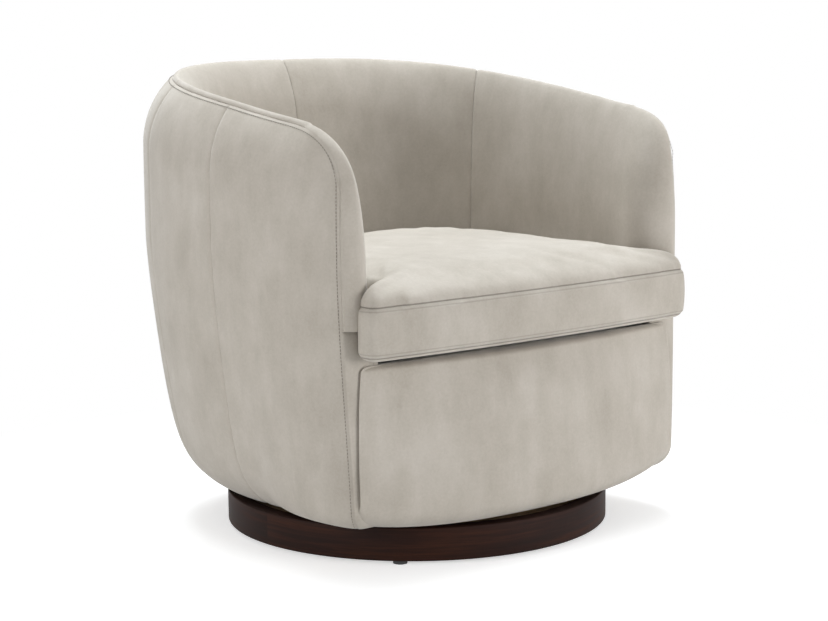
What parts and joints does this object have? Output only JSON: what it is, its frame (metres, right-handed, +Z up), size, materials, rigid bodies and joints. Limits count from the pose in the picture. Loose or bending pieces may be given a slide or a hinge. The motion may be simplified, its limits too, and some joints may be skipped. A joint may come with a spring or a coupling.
{
  "type": "swivel accent chair",
  "caption": "Barrel-shaped upholstered swivel chair with wraparound back and arms, a loose boxed seat cushion, a padded front apron and a low round wooden plinth.",
  "frame": {"origin": "on the floor, on the swivel axis at the centre of the round plinth", "axes": "+Z up, the seat faces -Y, +X to the right when looking along +Y at the front of the seat"},
  "size_m": [0.7772, 0.7363, 0.745],
  "materials": {
    "upholstery": "greige suede-like velvet with a mottled nap",
    "foam": "open-cell foam",
    "deck_cloth": "matt woven cloth over felt",
    "dust_cloth": "matt black non-woven cloth",
    "stained_wood": "dark walnut stain, satin",
    "plywood": "raw plywood",
    "steel": "zinc plated",
    "black_plastic": "matt"
  },
  "bodies": {
    "base": {"plinth_ring": "stained_wood", "plinth_board": "plywood", "plinth_blocks": "plywood", "floor_glides": "black_plastic", "glide_screws": "steel", "swivel_lower_plate": "steel", "bearing_balls": "steel", "ball_cage": "black_plastic", "pivot_pin": "steel", "lower_plate_screws": "steel"},
    "seat": {"arm_facing_left": "upholstery", "arm_facing_right": "upholstery", "arm_rib_left": "plywood", "arm_rib_right": "plywood", "arm_top_rail_left": "plywood", "arm_top_rail_right": "plywood", "back_rib_left": "plywood", "back_rib_right": "plywood", "back_top_rail": "plywood", "corner_blocks": "plywood", "deck_pad": "deck_cloth", "dust_cover": "dust_cloth", "front_apron": "upholstery", "front_board": "plywood", "front_rib_left": "plywood", "front_rib_right": "plywood", "inner_arm_left": "upholstery", "inner_arm_right": "upholstery", "inner_back_left": "upholstery", "inner_back_right": "upholstery", "outer_arm_left": "upholstery", "outer_arm_right": "upholstery", "outer_back": "upholstery", "outer_side_left": "upholstery", "outer_side_right": "upholstery", "rear_rail": "plywood", "seat_board": "plywood", "seat_springs": "steel", "side_rail_left": "plywood", "side_rail_right": "plywood", "side_rib_left": "plywood", "side_rib_right": "plywood", "spring_clips": "black_plastic", "swivel_upper_plate": "steel", "upper_plate_bolts": "steel"},
    "cushion": {"cushion_cover": "upholstery", "cushion_core": "foam"}
  },
  "joints": [
    {"name": "swivel", "type": "hinge", "parent": "base", "child": "seat", "pos_m": [0, 0, 0.056], "axis": [0, 0, 1], "continuous": true},
    {"name": "cushion_lift", "type": "slide", "parent": "seat", "child": "cushion", "axis": [0, 0, 1], "range_m": [0, 0.45]}
  ]
}
